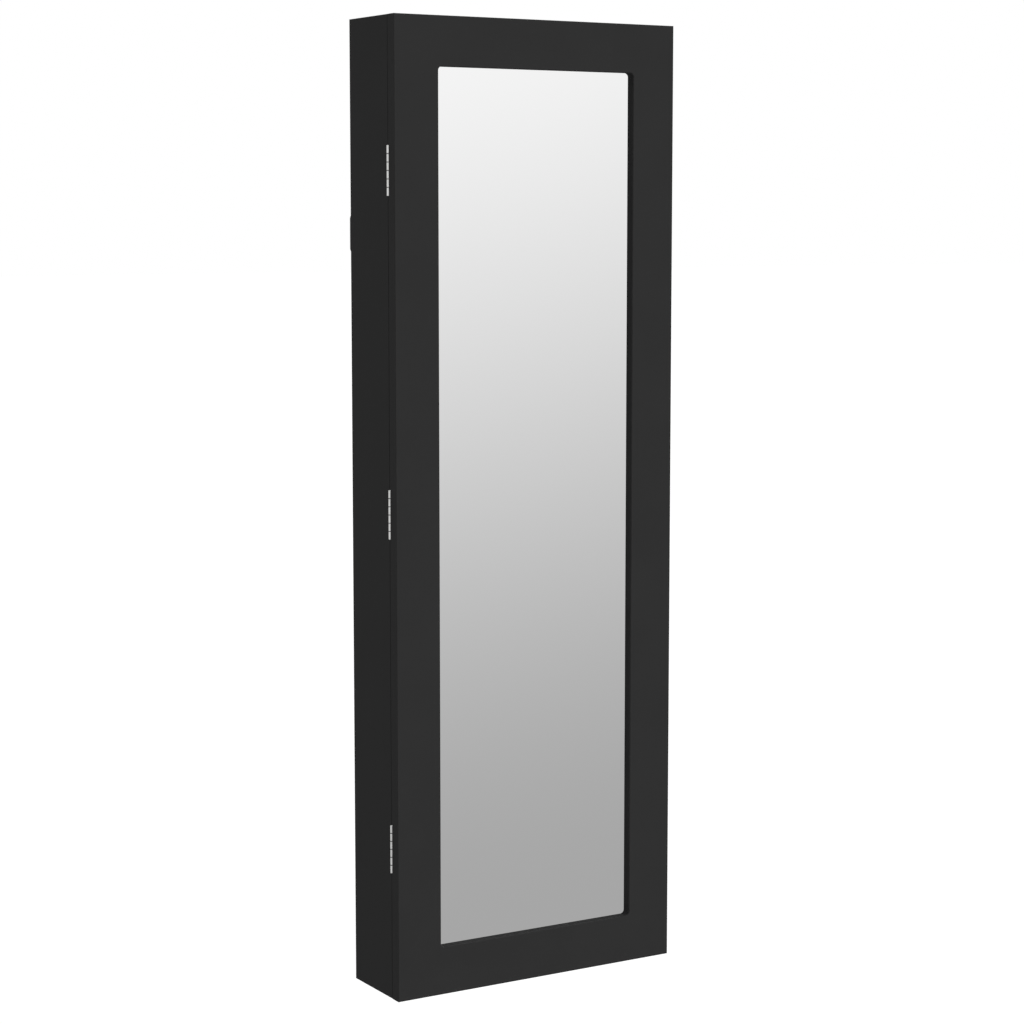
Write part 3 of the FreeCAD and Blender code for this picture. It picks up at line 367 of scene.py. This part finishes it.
def swollen(mesh, enlarge, pressure, spare, limit, frames):
    """Blow closed shells up from inside as cloth, and return where their points come to rest.

    The shells are enlarged for the simulation, because such small cloth hardly moves. The cloth is
    larger than its shell by the spare share, gravity is off, and no point moves past the limit.
    """
    scene = bpy.context.scene
    rest = np.empty(3 * len(mesh.vertices), np.float32)
    mesh.vertices.foreach_get("co", rest)
    balloon = bpy.data.objects.new("swelling", mesh.copy())
    balloon.data.vertices.foreach_set("co", rest * enlarge)
    scene.collection.objects.link(balloon)
    cloth = balloon.modifiers.new("cloth", "CLOTH")
    cloth.settings.use_pressure = True
    cloth.settings.uniform_pressure_force = pressure
    cloth.settings.shrink_min = -spare
    cloth.settings.effector_weights.gravity = 0
    cloth.point_cache.frame_end = frames
    for number in range(1, frames + 1):
        scene.frame_set(number)
    moved = np.empty_like(rest)
    posed = balloon.evaluated_get(bpy.context.evaluated_depsgraph_get())
    posed.data.vertices.foreach_get("co", moved)
    scene.frame_set(1)
    bpy.data.objects.remove(balloon)
    travel = (moved / enlarge - rest).reshape(-1, 3)
    length = np.maximum(np.linalg.norm(travel, axis=1, keepdims=True), limit)
    return rest.reshape(-1, 3) + travel * (limit / length)


def roll_rings(low, high):
    """Carry the side view of a roll round its axis: flat caps, round shoulders and a straight middle.

    Each roll's radius is dented by slow waves along and around it, with phases of its own. Its caps
    are pleated by a wave that runs round them, as deep as 4 s (1 - s) at the share s of the way out.
    """
    radius = (high.y - low.y) / 2 - SLACK
    reach = (high.x - low.x) / 2 - SLACK
    shoulder = SHOULDER_SHARE * radius
    turn = np.linspace(0, math.pi / 2, SHOULDER_ROWS + 1)
    cap = np.linspace(0, radius - shoulder, CAP_ROWS, endpoint=False)
    side = np.linspace(-1, 1, ROLL_ROWS)[1:-1] * (reach - shoulder)
    half_radius = np.concatenate([cap, radius - shoulder + shoulder * np.sin(turn)])
    half_across = np.concatenate([np.full(CAP_ROWS, -reach), -reach + shoulder - shoulder * np.cos(turn)])
    profile = np.concatenate([half_radius, np.full(side.size, radius), half_radius[::-1]])[:, None]
    across = np.concatenate([half_across, side, -half_across[::-1]])[:, None]
    angle = np.linspace(0, 2 * math.pi, ROLL_AROUND, endpoint=False)
    chance = np.random.default_rng(ROLL_SEED)
    phase = chance.uniform(0, 2 * math.pi, (len(DENT_WAVES_AND_TURNS), ROLL_COUNT, 1, 1))
    along = across / reach
    dents = sum(
        np.sin(waves * along + turns * angle + shift)
        for (waves, turns), shift in zip(DENT_WAVES_AND_TURNS, phase)
    )
    size = profile * (1 - DENT_SHARE * dents)
    share = profile / radius
    pleat = np.cos(GATHERS * angle + phase[0]) * (1 - share) * share * 4
    middles = np.linspace(low.z + radius + SLACK, high.z - radius - SLACK, ROLL_COUNT)
    rings = np.empty((ROLL_COUNT, across.size, ROLL_AROUND, 3))
    rings[..., 0] = across - np.sign(across) * GATHER_DEPTH * pleat
    rings[..., 1] = (low.y + high.y) / 2 + size * np.cos(angle)
    rings[..., 2] = middles[:, None, None] + size * np.sin(angle)
    return rings


def add_piece(mesh, name, body, slot, *stands_for):
    """Put a finished mesh into the scene as a piece that moves with a body of the cabinet."""
    piece = bpy.data.objects.new(name, mesh)
    bpy.context.scene.collection.objects.link(piece)
    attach(piece, body)
    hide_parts(*stands_for)
    return piece


roll_mesh = closed_shells("velvet_rolls", roll_rings(*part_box("ring_rolls")))
swelled = swollen(roll_mesh, enlarge=25, pressure=10, spare=0.02, limit=SWELL_LIMIT, frames=20)
roll_mesh.vertices.foreach_set("co", swelled.astype(np.float32).ravel())
roll_mesh.update()
velvet = short_pile("black_velvet", VELVET_DARK, VELVET_LIGHT, VELVET_SHEEN, VELVET_NAP)
roll_mesh.materials.append(velvet)
rolls = add_piece(roll_mesh, "velvet_ring_rolls", "cabinet", "velvet_padding", "ring_rolls")
rounding = rolls.modifiers.new("rounding", "SUBSURF")
rounding.levels = 1
rounding.render_levels = 1

# Guard rails, necklace hooks, bracelet rod with its sockets, and earring bars: drawn steel, bent and
# turned, then polished and chrome-plated. Faint polishing lines run along the bars.
CHROME_BRIGHT = (0.80, 0.80, 0.81, 1)
CHROME_DULL = (0.70, 0.70, 0.72, 1)
CHROME_ROUGHNESS = 0.05
SMEAR_SIZE = 16 * MM
SMEAR_EDGE = (0.35, 0.65)
POLISHING_LINES = (20 * MM, 0.4 * MM, 0.4 * MM)
POLISHING_DEPTH = 0.01 * MM
chrome, place = new_finish("polished_chrome", {"Metallic": 1.0})
smear = place.grain(SMEAR_SIZE, 3).rise(*SMEAR_EDGE)
line = place.streaks(POLISHING_LINES, 2)
vary(chrome, {
    "Base Color": (0.5 * smear + 0.5 * line).mixed(CHROME_BRIGHT, CHROME_DULL),
    "Roughness": CHROME_ROUGHNESS + 0.05 * smear + 0.07 * line,
    "Normal": line.relief(POLISHING_DEPTH),
})
dress(
    chrome, "guard_rail_middle", "guard_rail_lower", "guard_rail_bottom", "necklace_hooks", "bracelet_rod",
    "rod_sockets", "earring_bars",
)

# Magnetic catches: a moulded black housing screwed to the right side, with a pressed ferrite magnet
# between two steel pole plates that meet a steel strike plate on the door.
PLASTIC = (0.016, 0.016, 0.017, 1)
PLASTIC_WORN = (0.030, 0.030, 0.031, 1)
PLASTIC_ROUGHNESS = 0.36
PLASTIC_FLOW = (4 * MM, 4 * MM, 18 * MM)
SPARK_SIZE = 0.25 * MM
SPARK_DEPTH = 0.03 * MM
plastic, place = new_finish("moulded_black_plastic", {"Specular IOR Level": 0.5})
spark = place.grain(SPARK_SIZE, 1)
flow = place.streaks(PLASTIC_FLOW, 2).rise(*SOFT)
vary(plastic, {
    "Base Color": (flow * spark).mixed(PLASTIC, PLASTIC_WORN),
    "Roughness": PLASTIC_ROUGHNESS + 0.12 * spark + 0.08 * flow,
    "Normal": spark.relief(SPARK_DEPTH),
})
dress(plastic, "catch_housings")

FERRITE_DARK = (0.035, 0.035, 0.038, 1)
FERRITE_LIGHT = (0.13, 0.13, 0.135, 1)
FERRITE_ROUGHNESS = 0.4
CRYSTAL_SIZE = 0.5 * MM
CRYSTAL_EDGE = (0.35, 0.75)
CRYSTAL_DEPTH = 0.06 * MM
ferrite, place = new_finish("pressed_ferrite", {"Specular IOR Level": 0.6})
crystal = place.grain(CRYSTAL_SIZE, 4)
vary(ferrite, {
    "Base Color": crystal.rise(*CRYSTAL_EDGE).mixed(FERRITE_DARK, FERRITE_LIGHT),
    "Roughness": FERRITE_ROUGHNESS + 0.3 * crystal,
    "Normal": crystal.relief(CRYSTAL_DEPTH),
})
dress(ferrite, "catch_magnets")

ZINC_BRIGHT = (0.64, 0.64, 0.63, 1)
ZINC_BLUE = (0.52, 0.54, 0.57, 1)
ZINC_STRAW = (0.60, 0.57, 0.47, 1)
ZINC_ROUGHNESS = 0.24
BLUE_SIZE = 5 * MM
BLUE_EDGE = (0.35, 0.65)
STRAW_SIZE = 3.1 * MM
STRAW_EDGE = (0.52, 0.7)
SCRATCH_DEPTH = 0.02 * MM
SHEET_SCRATCHES = (0.3 * MM, 0.3 * MM, 12 * MM)


def zinc_plate(name, scratch_lengths):
    """Bright zinc: a bluish skin with straw-coloured clouds, and scratches along the longest length."""
    material, place = new_finish(name, {"Metallic": 1.0})
    blue = place.grain(BLUE_SIZE, 3).rise(*BLUE_EDGE)
    straw = place.grain(STRAW_SIZE, 2).rise(*STRAW_EDGE)
    scratch = place.streaks(scratch_lengths, 3)
    colour = blue.mixed(ZINC_BRIGHT, ZINC_BLUE)
    vary(material, {
        "Base Color": (0.6 * straw).mixed(colour, ZINC_STRAW),
        "Roughness": ZINC_ROUGHNESS + 0.2 * scratch + 0.08 * blue,
        "Normal": scratch.relief(SCRATCH_DEPTH),
    })
    return material


sheet_zinc = zinc_plate("zinc_plated_sheet", SHEET_SCRATCHES)
dress(sheet_zinc, "catch_pole_plates", "strike_plates")

# Screws: cross-recessed countersunk steel screws, turned and zinc-plated, heads flush with what they
# hold. The hanging plates' screws are blackened like the plates.
SCREW_SCRATCHES = (0.5 * MM, 0.5 * MM, 0.5 * MM)
screw_zinc = zinc_plate("zinc_plated_screws", SCREW_SCRATCHES)
dress(
    screw_zinc, "hook_strip_screws", "rod_socket_screws", "catch_screws", "strike_plate_screws",
    "backing_board_screws",
)

# Hanging plates: stamped steel with a keyhole each, on the rear edges of the sides. Powder-coated
# black, so the coat has a pebbled skin, which short scuffs rub paler and smoother.
POWDER = (0.014, 0.014, 0.014, 1)
POWDER_PALE = (0.026, 0.026, 0.027, 1)
POWDER_ROUGHNESS = 0.46
PEBBLE_SIZE = 0.9 * MM
PEBBLE_DEPTH = 0.12 * MM
SCUFF_LENGTHS = (9 * MM, 2 * MM, 1.2 * MM)
SCUFF_EDGE = (0.5, 0.8)
powder, place = new_finish("black_powder_coat", {"Specular IOR Level": 0.5})
pebble = place.grain(PEBBLE_SIZE, 2)
scuff = place.streaks(SCUFF_LENGTHS, 3).rise(*SCUFF_EDGE)
vary(powder, {
    "Base Color": (0.5 * pebble + 0.5 * scuff).mixed(POWDER, POWDER_PALE),
    "Roughness": POWDER_ROUGHNESS + 0.12 * pebble - 0.1 * scuff,
    "Normal": pebble.relief(PEBBLE_DEPTH),
})
dress(powder, "hanging_plate_left", "hanging_plate_right", "hanging_plate_screws")

# Wall pads: two punched discs of dark felt, glued low on the rear edges so that the box hangs plumb.
# Their rims are soft and uneven, and loose fibres lift the faces.
FELT_DARK = (0.030, 0.030, 0.031, 1)
FELT_LIGHT = (0.085, 0.084, 0.083, 1)
FELT_EDGE = (0.3, 0.8)
FELT_ROUGHNESS = 0.88
FELT_DEPTH = 0.2 * MM
FELT_SEED = 11
MAT_SIZE = 0.6 * MM
HAIR_LENGTHS = (0.15 * MM, 2 * MM, 1.5 * MM)
PAD_AROUND = 72
PAD_RIM_ROWS = 9
PAD_FACE_ROWS = 10
FUZZ_DEPTH = 0.16 * MM
FUZZ_LIFT = 0.1
FUZZ_WAVES = np.arange(3, 34, 5)
FUZZ_TWIST = 5 / MM


def felt_rings(low, high):
    """Carry the side view of a disc round its middle: a flat face, a half-round rim and a flat face.

    The rim wanders by waves of several lengths, which turn on the way out to it, and both faces are
    lifted a little by the same waves.
    """
    thick = high.y - low.y
    radius = (high.z - low.z) / 2
    rim = thick / 2
    centres = np.array([low.x + radius, high.x - radius])
    face = np.linspace(0, radius - rim, PAD_FACE_ROWS, endpoint=False)
    turn = np.linspace(-math.pi / 2, math.pi / 2, PAD_RIM_ROWS)
    outward = np.concatenate([face, radius - rim + rim * np.cos(turn), face[::-1]])[:, None]
    depth = np.concatenate([np.full(face.size, -rim), rim * np.sin(turn), np.full(face.size, rim)])[:, None]
    angle = np.linspace(0, 2 * math.pi, PAD_AROUND, endpoint=False)
    chance = np.random.default_rng(FELT_SEED)
    phase = chance.uniform(0, 2 * math.pi, (FUZZ_WAVES.size, centres.size, 1, 1))
    fuzz = np.mean(np.sin(FUZZ_WAVES[:, None, None, None] * angle + FUZZ_TWIST * outward + phase), axis=0)
    share = outward / radius
    reach = np.maximum(outward - FUZZ_DEPTH * share * (1 + fuzz), 0)
    rings = np.empty((centres.size, outward.size, PAD_AROUND, 3))
    rings[..., 0] = centres[:, None, None] + reach * np.cos(angle)
    rings[..., 1] = (low.y + high.y) / 2 + depth * (1 - FUZZ_LIFT * share * (1 + fuzz))
    rings[..., 2] = (low.z + high.z) / 2 + reach * np.sin(angle)
    return rings


felt, place = new_finish("dark_felt", {
    "Specular IOR Level": 0.1,
    "Sheen Weight": 0.3,
    "Sheen Roughness": 0.6,
})
mat = place.grain(MAT_SIZE, 4)
hair = place.streaks(HAIR_LENGTHS, 2)
vary(felt, {
    "Base Color": (0.6 * mat + 0.5 * hair).rise(*FELT_EDGE).mixed(FELT_DARK, FELT_LIGHT),
    "Roughness": FELT_ROUGHNESS + 0.1 * mat,
    "Normal": (mat + 0.6 * hair).relief(FELT_DEPTH),
})
felt_mesh = closed_shells("felt_discs", felt_rings(*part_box("lower_wall_pads")))
felt_mesh.materials.append(felt)
pads = add_piece(felt_mesh, "felt_wall_pads", "cabinet", "felt", "lower_wall_pads")

# Door frame: one fibreboard of 12 mm with its window routed out and its front edges eased, sprayed
# with the box. The routed reveal of the window is painted darker than the face: painted shade in the recess.
# Reflections leave out the frame and the screws on the door, so that the mirror stays clear of them.
# Painted shade: the reveal's darker colour stands in for the shade inside the window's recess.
REVEAL_SHADE = (0.0160, 0.0160, 0.0162, 1)
REVEAL_DEPTH = (0.3 * MM, 2 * MM)
REVEAL_START, REVEAL_END = 1.0 * MM, 0.4 * MM
MIRROR_LAP = 6 * MM
UNMIRRORED = ("door_frame", "backing_board_screws", "hinge_door_screws", "strike_plate_screws")
door_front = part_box("door_frame")[0].y
glass_low, glass_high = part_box("mirror_glass")
window_reach = glass_high.x - MIRROR_LAP
window_middle = (glass_low.z + glass_high.z) / 2
window_half_height = (glass_high.z - glass_low.z) / 2 - MIRROR_LAP


def window_reveal_shade(place):
    """1 round the window and behind the face of the door, where the reveal gets its painted shade, 0 on the
    rest of its frame.
    """
    behind = place.along("Y").rise(door_front + REVEAL_DEPTH[0], door_front + REVEAL_DEPTH[1])
    across = place.along("X").math("ABSOLUTE").rise(window_reach + REVEAL_START, window_reach + REVEAL_END)
    height = (place.along("Z") - window_middle).math("ABSOLUTE")
    upright = height.rise(window_half_height + REVEAL_START, window_half_height + REVEAL_END)
    return behind * across * upright


door_paint = sprayed_paint("matt_black_door_paint", REVEAL_SHADE, window_reveal_shade)
dress(door_paint, "door_frame")
for name in UNMIRRORED:
    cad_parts[name].visible_glossy = False

# Mirror: float glass of 2 mm, silvered on its back and sealed with grey paint, lying in a rabbet
# behind the window. It reflects almost everything, with a breath of green towards its sides.
SILVER = (0.955, 0.955, 0.955, 1)
SILVER_GREEN = (0.90, 0.93, 0.915, 1)
SILVER_ROUGHNESS = 0.004
GREEN_WIDTH = 3 * MM
BACK_PAINT = (0.10, 0.105, 0.11, 1)
BACK_PAINT_START, BACK_PAINT_END = 0.2 * MM, 0.1 * MM
WIPE_LENGTHS = (180 * MM, 180 * MM, 260 * MM)
WIPE_EDGE = (0.4, 0.7)
silver, place = new_finish("silvered_glass", {"Specular IOR Level": 0.5})
sealed = place.along("Y").rise(glass_high.y - BACK_PAINT_START, glass_high.y - BACK_PAINT_END)
margin = place.along("X").math("ABSOLUTE").rise(glass_high.x - GREEN_WIDTH, glass_high.x)
wiped = place.streaks(WIPE_LENGTHS, 2).rise(*WIPE_EDGE)
vary(silver, {
    "Base Color": sealed.mixed(margin.mixed(SILVER, SILVER_GREEN), BACK_PAINT),
    "Metallic": 1 - sealed,
    "Roughness": SILVER_ROUGHNESS + 0.006 * wiped + 0.6 * sealed,
})
dress(silver, "mirror_glass")

# Backing board: hardboard of 3 mm, laid over the glass and screwed to the back of the frame. Its smooth
# face is painted black and shows when the door is open, and its screen print lies against the glass.
backing_front, backing_rear = (corner.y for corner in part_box("door_backing_board"))
dress(pressed_hardboard("backing_hardboard", backing_rear, backing_front), "door_backing_board")

# Hinges: three butt hinges of nickel-plated steel. Each leaf is stamped from sheet and rolled round a
# pin in turn with the other, let in flush and held by two small screws. Drawing lines run along it,
# and the joints between the knuckles are darkened, partly as grease and partly as painted shade in the gaps.
NICKEL = (0.66, 0.66, 0.655, 1)
NICKEL_WARM = (0.57, 0.565, 0.55, 1)
NICKEL_ROUGHNESS = 0.2
DRAWING_LINES = (0.5 * MM, 0.5 * MM, 14 * MM)
DRAWING_DEPTH = 0.02 * MM
BREATH_SIZE = 6 * MM
KNUCKLES = 6
# Grease and painted shade: the dark colour at the knuckle joints stands partly for the shade in their gaps.
GREASE_AND_SHADE = (0.06, 0.06, 0.06, 1)
GREASE_AND_SHADE_EDGE = 0.2 * MM
GREASE_AND_SHADE_FADE = (0.02, 0.08)
CLEAN_START, CLEAN_END = 0.4, 0.3
HALF_KNUCKLE = 0.5


def nickel_plate(name, pin_box, leaf_box):
    """Nickel with drawing lines up and down, darker where one knuckle of the barrel meets the next, as grease
    and painted shade in the gap.

    The barrel reaches as far to the right of the pin's middle as the leaf reaches to its left. Heights
    are counted in knuckles, and the two ends of the barrel stay clean.
    """
    material, place = new_finish(name, {"Metallic": 1.0})
    low, high = pin_box
    barrel_right = low.x + high.x - leaf_box[0].x
    half = KNUCKLES / 2
    drawn = place.streaks(DRAWING_LINES, 3)
    breath = place.grain(BREATH_SIZE, 3).rise(*SOFT)
    steps = (place.along("Z") - low.z) * (KNUCKLES / (high.z - low.z))
    between = 1 - steps.math("PINGPONG", HALF_KNUCKLE).rise(*GREASE_AND_SHADE_FADE)
    ends = (steps - half).math("ABSOLUTE").rise(half - CLEAN_START, half - CLEAN_END)
    # The joint mask places the grease and the painted shade between the knuckles.
    joint = between * (1 - ends) * place.along("X").rise(barrel_right, barrel_right - GREASE_AND_SHADE_EDGE)
    colour = (0.4 * breath + 0.4 * drawn).mixed(NICKEL, NICKEL_WARM)
    vary(material, {
        "Base Color": joint.mixed(colour, GREASE_AND_SHADE),
        "Roughness": NICKEL_ROUGHNESS + 0.12 * drawn + 0.08 * breath + 0.3 * joint,
        "Normal": drawn.relief(DRAWING_DEPTH),
    })
    return material


for level in ("top", "middle", "bottom"):
    hinge = f"hinge_{level}"
    nickel = nickel_plate(f"nickel_{level}_hinge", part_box(f"{hinge}_pin"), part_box(f"{hinge}_cabinet_leaf"))
    dress(nickel, f"{hinge}_cabinet_leaf", f"{hinge}_door_leaf", f"{hinge}_pin")
dress(screw_zinc, "hinge_cabinet_screws", "hinge_door_screws")

# Stage: a pale floor well below the wall-hung box, and a white room round it. The floor is a little
# self-lit for the eye alone, so that it goes to white and keeps the soft shadow of the box. Bright
# metal and the mirror see the room itself: white above, and a grey that deepens below and to the right.
FLOOR_DROP = 0.35
FLOOR_REACH = 40.0
FLOOR_COLOUR = (0.8, 0.8, 0.8, 1)
FLOOR_GLOW = (0.42, 0.42, 0.42, 1)
BLACK = (0, 0, 0, 1)
WHITE = (1, 1, 1, 1)
ROOM_LEAN = (-0.288, -0.05, 1.0)
ROOM_DARK = (0.40, 0.40, 0.40, 1)
ROOM_FADE = (-0.384, 0.035)
ROOM_FILL = (0.53, 0.53, 0.53, 1)

floor_level = solid_box[0].z - FLOOR_DROP
floor_mesh = bpy.data.meshes.new("floor")
floor_corners = [
    (-FLOOR_REACH, -FLOOR_REACH, floor_level),
    (FLOOR_REACH, -FLOOR_REACH, floor_level),
    (FLOOR_REACH, FLOOR_REACH, floor_level),
    (-FLOOR_REACH, FLOOR_REACH, floor_level),
]
floor_mesh.from_pydata(floor_corners, [], [(0, 1, 2, 3)])
floor = bpy.data.objects.new("floor", floor_mesh)
floor.visible_glossy = False
bpy.context.scene.collection.objects.link(floor)
floor_finish, place = new_finish("pale_floor", {
    "Base Color": FLOOR_COLOUR,
    "Roughness": 0.9,
    "Specular IOR Level": 0.0,
    "Emission Strength": 1.0,
})
seen = place.node("ShaderNodeLightPath", {}, {}, "Is Camera Ray")
seen_through = place.node("ShaderNodeLightPath", {}, {}, "Is Transmission Ray")
vary(floor_finish, {"Emission Color": seen.math("MAXIMUM", seen_through).mixed(BLACK, FLOOR_GLOW)})
floor_mesh.materials.append(floor_finish)

room = bpy.data.worlds.new("white_room")
room.use_nodes = True
bpy.context.scene.world = room
looking = Signal(room.node_tree.nodes.new("ShaderNodeTexCoord").outputs["Generated"])
lean = looking.node("ShaderNodeVectorMath", {"operation": "DOT_PRODUCT"}, {0: looking, 1: ROOM_LEAN}, "Value")
glossy = looking.node("ShaderNodeLightPath", {}, {}, "Is Glossy Ray")
camera_ray = looking.node("ShaderNodeLightPath", {}, {}, "Is Camera Ray")
clear_ray = looking.node("ShaderNodeLightPath", {}, {}, "Is Transmission Ray")
lit = glossy.mixed(ROOM_FILL, lean.rise(*ROOM_FADE).mixed(ROOM_DARK, WHITE))
shown = camera_ray.math("MAXIMUM", clear_ray).mixed(lit, WHITE)
room.node_tree.links.new(shown.socket, room.node_tree.nodes["Background"].inputs["Color"])

# Lamp: one large soft light in front of the cabinet, to the right and above, as a big window gives it.
# Its wide spread keeps the edges of shadows soft.
LAMP_FROM = (0.35, -0.80, 0.48)
LAMP_STRENGTH = 1.95
LAMP_SPREAD = math.radians(35)
daylight = bpy.data.lights.new("soft_daylight", "SUN")
daylight.energy = LAMP_STRENGTH
daylight.angle = LAMP_SPREAD
lamp = bpy.data.objects.new("soft_daylight", daylight)
lamp.rotation_euler = Vector(LAMP_FROM).to_track_quat("Z", "Y").to_euler()
bpy.context.scene.collection.objects.link(lamp)

# Camera: in front of the cabinet and to its left, about as high as the hanging plates and tilted down
# a little. A long lens keeps the uprights nearly parallel.
CAMERA_PLACE = (-1.2146, -2.0626, 0.0211)
CAMERA_TURN = math.radians(30.989)
CAMERA_TILT = math.radians(6.303)
LENS = 87.88
LENS_SHIFT = -0.02
view = bpy.data.cameras.new("camera")
view.lens = LENS
view.shift_y = LENS_SHIFT
camera = bpy.data.objects.new("camera", view)
camera.location = CAMERA_PLACE
camera.rotation_euler = (math.pi / 2 - CAMERA_TILT, 0, -CAMERA_TURN)
bpy.context.scene.collection.objects.link(camera)
bpy.context.scene.camera = camera
bpy.context.scene.view_settings.view_transform = "Standard"
